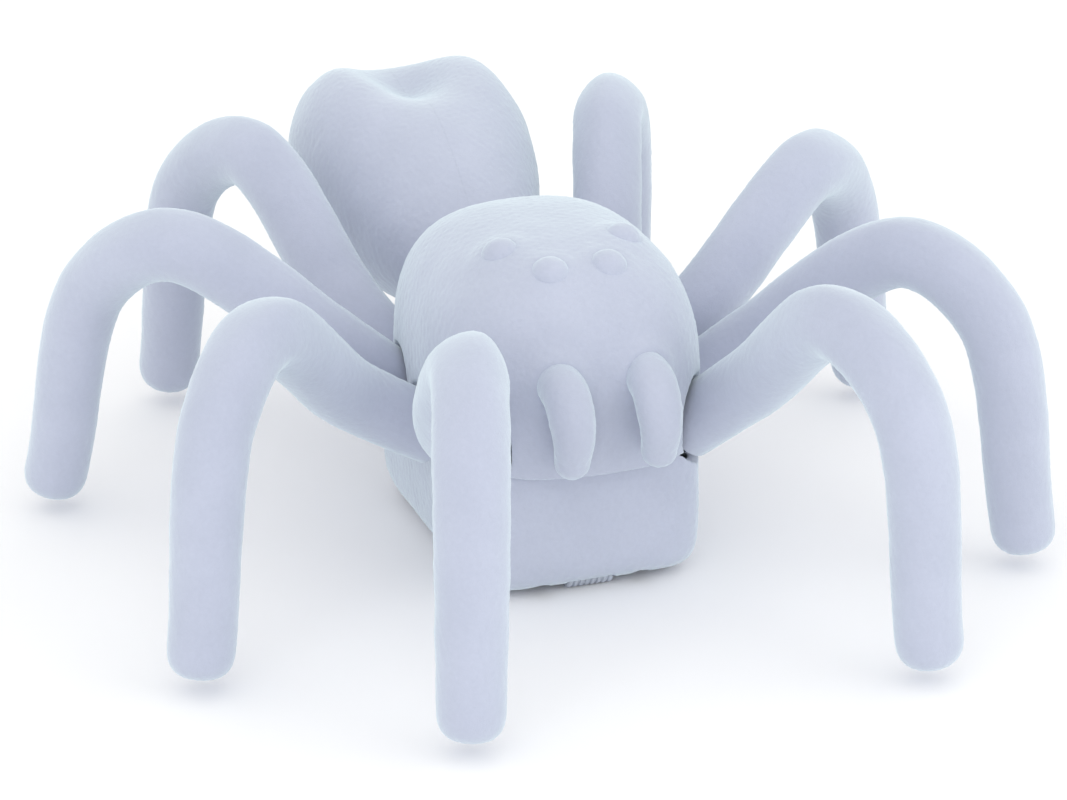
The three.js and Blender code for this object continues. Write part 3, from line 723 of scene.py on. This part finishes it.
def base_openings():
    """Wheel wells, the roller's well and axle, screw bores, the battery bay and the switch slot."""
    wells = []
    for side in SIDES.values():
        x = side_span(side, 15.2, WHEEL["end"] + 0.8)
        wells.append(box("well", x, (WHEEL["y"] - 7.8, WHEEL["y"] + 7.6), (-1, 14.5)))
    room = ROLLER["radius"] + 0.4
    x = span(0, ROLLER["half"] + GAP)
    wells.append(box("well", x, span(ROLLER["y"], room), (-1, 2 * ROLLER["radius"] + 0.5)))
    stub_ends = [(x, ROLLER["y"], ROLLER["radius"]) for x in (-9, 9)]
    wells.append(rod("stub", *stub_ends, ROLLER["stub_radius"] + GAP))
    for x, y, head in CASE_SCREWS.values():
        wells += posts(both_sides(x, y), -1, FAR, SCREW_COLUMN["bore"])
        wells += posts(both_sides(x, y), -1, head + 2, SCREW_COLUMN["head_bore"])
    (x0, x1), (y0, y1), _ = COVER
    wells.append(box("bay", (x0 - GAP, x1 + GAP), (y0 - GAP, y1 + GAP), (-1, 20)))
    x = span(0, SWITCH["half"] + SWITCH["travel"] / 2 + GAP)
    wells.append(box("slot", x, (40, 50), span(SWITCH["z"], SWITCH["half_height"] + GAP)))
    return wells


def lower_housing():
    made = rounded_body("lower_housing_flocked", BASE)
    boolean(made, [rounded_body("hollow", BASE, WALL, 5), slab(SEAM_Z, FAR)])
    deck = lip(BASE, DOME, SEAM_Z - WALL)
    boolean(made, [*screw_columns(), *roller_cheeks(), deck], "UNION")
    boolean(made, base_openings() + all_sockets())
    return flocked(soften(made, HOUSING_VOXEL, 2))


place(upper_shell(), "flocked_shell", "chassis", "upper_shell")
place(lower_housing(), "flocked_shell", "chassis", "lower_housing")

for side_name, side in SIDES.items():
    fang = f"chelicera_{side_name}"
    made = chelicera(f"{fang}_flocked", side, -FACE_NAP_ROOM)
    place(flocked(made, 0.03, 0.03), "flocked_shell", "chassis", fang)
    for eye_name, (x, y, z) in EYES.items():
        eye = f"eye_{eye_name}_{side_name}"
        made = eye_ball(f"{eye}_flocked", (side * x, y, z), EYE_RADIUS)
        place(flocked(made, 0.02, 0.02), "flocked_shell", "chassis", eye)


# ------------------------------------------------------------------ abdomen
ABDOMEN_VOXEL = 0.48
HALF_SEAM = 0.012


def hump(across, along):
    return np.exp(-(across**2) - along**2)


def abdomen_body(name, inset, rows=88, around=128):
    """A teardrop that widens and rises to the rear, with a dimple between two lobes on top."""
    size = ABDOMEN
    turn = np.linspace(0, math.pi, rows + 1)[1:-1]
    round_it = np.linspace(0, 2 * math.pi, around, endpoint=False)
    theta, phi = np.meshgrid(turn, round_it, indexing="ij")
    theta = np.concatenate([[0], theta.ravel(), [math.pi]])
    phi = np.concatenate([[0], phi.ravel(), [0]])
    rear = np.cos(theta)
    swell = np.sin(theta) * (FULLNESS["middle"] + FULLNESS["rear"] * rear)
    y = size["middle"] + (size["half"] - inset) * rear
    lift = np.sin(np.minimum((rear + 1) / 1.4, 1) * math.pi / 2)
    flare = 1 + size["flare"] * np.sin(phi) * np.maximum(rear + 0.4, 0)
    x = (size["width"] - inset) * swell * np.cos(phi) * flare
    top = np.maximum(np.sin(phi), 0)
    dimple = DIMPLE["deep"] * hump(x / DIMPLE["half_x"], (y - DIMPLE["y"]) / DIMPLE["half_y"])
    from_lobe = (np.abs(x) - LOBES["x"]) / LOBES["half_x"]
    lobe = LOBES["high"] * hump(from_lobe, (y - LOBES["y"]) / LOBES["half_y"])
    belly = size["neck_z"] + size["rise"] * lift
    z = belly + (size["height"] - inset) * swell * np.sin(phi) + top * (lobe - dimple)
    grid = 1 + np.arange((rows - 1) * around).reshape(rows - 1, around)
    faces = []
    for low, high in zip(grid[:-1], grid[1:]):
        faces += list(zip(low, np.roll(low, -1), np.roll(high, -1), high))
    last = grid[-1][-1] + 1
    faces += [(0, b, a) for a, b in zip(grid[0], np.roll(grid[0], -1))]
    faces += [(last, a, b) for a, b in zip(grid[-1], np.roll(grid[-1], -1))]
    return tidy(new_object(name, np.stack([x, y, z], axis=1), faces))


def abdomen_halves():
    ends = [(0, y, NECK["z"]) for y in (NECK["start"], NECK["end"] + GAP)]
    neck = rod("cutter", *ends, NECK["radius"] + GAP)
    whole = boolean(abdomen_body("abdomen", 0), [abdomen_body("hollow", WALL), neck])
    flocked(soften(whole, ABDOMEN_VOXEL, 3))
    for side_name, side in SIDES.items():
        half = whole.copy()
        half.data = whole.data.copy()
        half.name = f"abdomen_{side_name}_flocked"
        bpy.context.scene.collection.objects.link(half)
        keep = box("keep", side_span(side, HALF_SEAM, FAR), (-FAR, FAR), (-FAR, FAR))
        boolean(half, [keep], "INTERSECT")
        place(shade(half, 60), "flocked_shell", "chassis", f"abdomen_{side_name}")
    remove(whole)


abdomen_halves()


def waist_tube():
    """A tube with shallow grooves all the way round."""
    outer, length = NECK["radius"], NECK["end"] - NECK["start"]
    inner = outer - NECK["wall"]
    profile = [(inner, 0), (outer - 0.5, 0), (outer, 0.5)]
    for ring in range(1, NECK["ribs"] + 1):
        along = ring * length / (NECK["ribs"] + 1)
        profile += [(outer, along - 0.6), (outer - 0.45, along), (outer, along + 0.6)]
    profile += [(outer, length - 0.5), (outer - 0.5, length), (inner, length)]
    return shade(lathe("waist_tube_ribbed", profile, (0, NECK["start"], NECK["z"]), (0, 1, 0), 64))


place(waist_tube(), "grey_plastic", "chassis", "waist_tube")


# ------------------------------------------------------------------ underside and running gear
def tyre(name, side):
    """A rubber ring with a rounded crown and cross lugs."""
    width, inner, outer = WHEEL["end"] - WHEEL["start"], WHEEL["rim"], WHEEL["radius"]
    crown, lug_depth, lug_count = 0.9, 0.45, 22
    profile = [(inner, 0.15), (inner + 0.3, 0), (outer - crown, 0)]
    for turn in np.linspace(0.25, math.pi - 0.25, 9):
        profile.append((outer - crown * (1 - math.sin(turn)), width / 2 * (1 - math.cos(turn))))
    profile += [(outer - crown, width), (inner + 0.3, width), (inner, width - 0.15)]

    def lugs(angle, radius, along):
        lean = 0.35 * abs(along / width - 0.5)
        between = (angle * lug_count / (2 * math.pi) + lean) % 1 > 0.62
        return radius - lug_depth if between and radius > outer - 0.85 else radius

    start = (side * WHEEL["start"], WHEEL["y"], WHEEL["radius"])
    return crisp(lathe(name, profile, start, (side, 0, 0), 12 * lug_count, lugs))


def wheel(name, side):
    """A dished hub with a boss, five round windows and a bore for the axle."""
    width, rim, bore = WHEEL["end"] - WHEEL["start"], WHEEL["rim"] - GAP, WHEEL["bore"]
    profile = [(bore, 0), (rim, 0), (rim, width), (rim - 0.6, width), (rim - 0.8, width - 0.9)]
    profile += [(2.2, width - 1.1), (2, width - 0.2), (bore, width - 0.2)]
    start = np.array((side * WHEEL["start"], WHEEL["y"], WHEEL["radius"]))
    made = lathe(name, profile, start, (side, 0, 0), 80)
    windows = []
    for angle in np.linspace(0, 2 * math.pi, 5, endpoint=False):
        at = start + (0, 3 * math.cos(angle), 3 * math.sin(angle))
        windows.append(rod("window", at - (side, 0, 0), at + (side * (width + 1), 0, 0), 0.55, 20))
    return crisp(boolean(made, windows))


def roller():
    """A grooved drum on stub axles."""
    half, radius, thin = ROLLER["half"], ROLLER["radius"], ROLLER["stub_radius"]
    end = half + ROLLER["stub"]
    profile = [(0, -end), (thin - 0.15, -end), (thin, 0.2 - end), (thin, -half)]
    profile += [(radius - 0.4, -half), (radius, -half + 0.4)]
    for at in half / 4 * np.arange(-3, 4):
        profile += [(radius, at - 0.35), (radius - 0.35, at - 0.15)]
        profile += [(radius - 0.35, at + 0.15), (radius, at + 0.35)]
    profile += [(radius, half - 0.4), (radius - 0.4, half)]
    profile += [(thin, half), (thin, end - 0.2), (thin - 0.15, end), (0, end)]
    centre = (0, ROLLER["y"], ROLLER["radius"])
    return crisp(lathe("front_roller_grooved", profile, centre, (1, 0, 0), 96))


def screw(name, at, low, high, head, head_height, shank):
    """A pan head with a cross recess, and a shank with a coarse thread's ridges."""
    core, pitch = shank * 0.8, 0.7
    profile = [(0, 0), (head * 0.6, 0), (head * 0.92, 0.25), (head, 0.6)]
    profile += [(head, head_height), (shank, head_height)]
    for turn in range(int((high - low - head_height - 1) / pitch)):
        start = head_height + 0.3 + turn * pitch
        profile += [(core, start), (core, start + 0.2), (shank, start + 0.35), (core, start + 0.5)]
    profile += [(core, high - low - 0.8), (0, high - low)]
    made = lathe(name, profile, (*at, low), (0, 0, 1), 40)
    arm, slot, depth = head * 0.62, 0.2, min(0.6, head_height * 0.7)
    x, y = at
    cross = [
        box("cross", (x - across, x + across), (y - along, y + along), (low - 1, low + depth))
        for across, along in ((arm, slot), (slot, arm))
    ]
    return crisp(boolean(made, cross))


def battery_cover():
    """A lid with softened edges, a thumb grip of grooves and a countersunk screw hole."""
    _, (y0, y1), (low, _) = COVER
    made = rounded_box("battery_cover_gripped", *COVER, 0.35)
    cutters = []
    for k in range(COVER_GRIP["grooves"]):
        y = y0 + COVER_GRIP["start"] + COVER_GRIP["pitch"] * k
        half = COVER_GRIP["half"] - COVER_GRIP["narrowing"] * k
        ends = [(x, y, low - 0.35) for x in (-half, half)]
        cutters.append(rod("groove", *ends, COVER_GRIP["radius"], 24))
    for y in (y0 + 18, y1 - 6.2):
        cutters.append(rounded_box("line", (-9.8, 9.8), (y, y + 0.5), (low - 1.45, low + 0.35), 0.1))
    cutters += posts([COVER_SCREW_AT], -1, 5, 1.3)
    cutters += posts([COVER_SCREW_AT], -1, 2.8, 2.3)
    return crisp(boolean(made, cutters))


def switch_knob():
    """A slider with three finger ridges."""
    middle, half, z = -SWITCH["travel"] / 2, SWITCH["half"], SWITCH["z"]
    y, height = (SWITCH["back"], SWITCH["front"]), span(z, SWITCH["half_height"])
    made = rounded_box("switch_knob_ridged", span(middle, half), y, height, 0.2)
    grooves = []
    for across in (middle - half / 2, middle, middle + half / 2):
        ends = [(across, SWITCH["front"] + 0.1, z + up) for up in (-2, 2)]
        grooves.append(rod("groove", *ends, 0.22, 20))
    return crisp(boolean(made, grooves))


for side_name, side in SIDES.items():
    tyre_name, wheel_name = f"tyre_{side_name}", f"drive_wheel_{side_name}"
    place(tyre(f"{tyre_name}_treaded", side), "tyre_rubber", "axle", tyre_name)
    place(wheel(f"{wheel_name}_dished", side), "nylon", "axle", wheel_name)
    for end, (x, y, low) in CASE_SCREWS.items():
        named = f"case_screw_{end}_{side_name}"
        made = screw(f"{named}_cross", (side * x, y), low, **CASE_SCREW)
        place(made, "steel", "chassis", named)
cover_screw = screw("battery_cover_screw_cross", COVER_SCREW_AT, **COVER_SCREW)
place(cover_screw, "steel", "chassis", "battery_cover_screw")
place(battery_cover(), "grey_plastic", "chassis", "battery_cover")
place(roller(), "grey_plastic", "front_roller", "front_roller")
place(switch_knob(), "black_plastic", "switch_knob", "switch_slider")


# ------------------------------------------------------------------ floor and light
FLOOR_HALF = 6000
FLOOR_GREYS = ((0.3, (0.955, 0.955, 0.955)), (0.7, (0.98, 0.98, 0.98)))
SKY_STRENGTH = 1.04
LAMP_SIZE = 1.2
LAMP_COLOUR = (0.98, 1.0, 0.995)
LAMPS = {"key": ((-0.7, -1.1, 0.6), 4), "fill": ((0.9, -0.8, 0.5), 3)}  # place in metres, watts


def area_light(name, at, power):
    """A soft square lamp that faces the object."""
    data = bpy.data.lights.new(name, "AREA")
    data.size = LAMP_SIZE
    data.energy = power
    data.color = LAMP_COLOUR
    light = bpy.data.objects.new(name, data)
    bpy.context.scene.collection.objects.link(light)
    light.location = at
    light.rotation_euler = (Vector((0, 0, 0.04)) - Vector(at)).to_track_quat("-Z", "Y").to_euler()


def studio():
    """A pale paper floor under a white sky and two lamps."""
    half = FLOOR_HALF
    corners = [(-half, -half, 0), (half, -half, 0), (half, half, 0), (-half, half, 0)]
    floor = new_object("floor", corners, [(0, 1, 2, 3)])
    made, shader, add, link = material("floor_paper", roughness=0.9)
    tone = ramp(add, link, noise(add, link, 3.0), FLOOR_GREYS)
    link(tone, shader.inputs["Base Color"])
    floor.data.materials.append(made)
    world = bpy.data.worlds.new("studio")
    world.use_nodes = True
    sky = world.node_tree.nodes["Background"]
    sky.inputs["Color"].default_value = (1, 1, 1, 1)
    sky.inputs["Strength"].default_value = SKY_STRENGTH
    bpy.context.scene.world = world
    for name, (at, power) in LAMPS.items():
        area_light(name, at, power)
    bpy.context.scene.view_settings.view_transform = "Standard"
    bpy.context.scene.view_settings.look = "None"


studio()
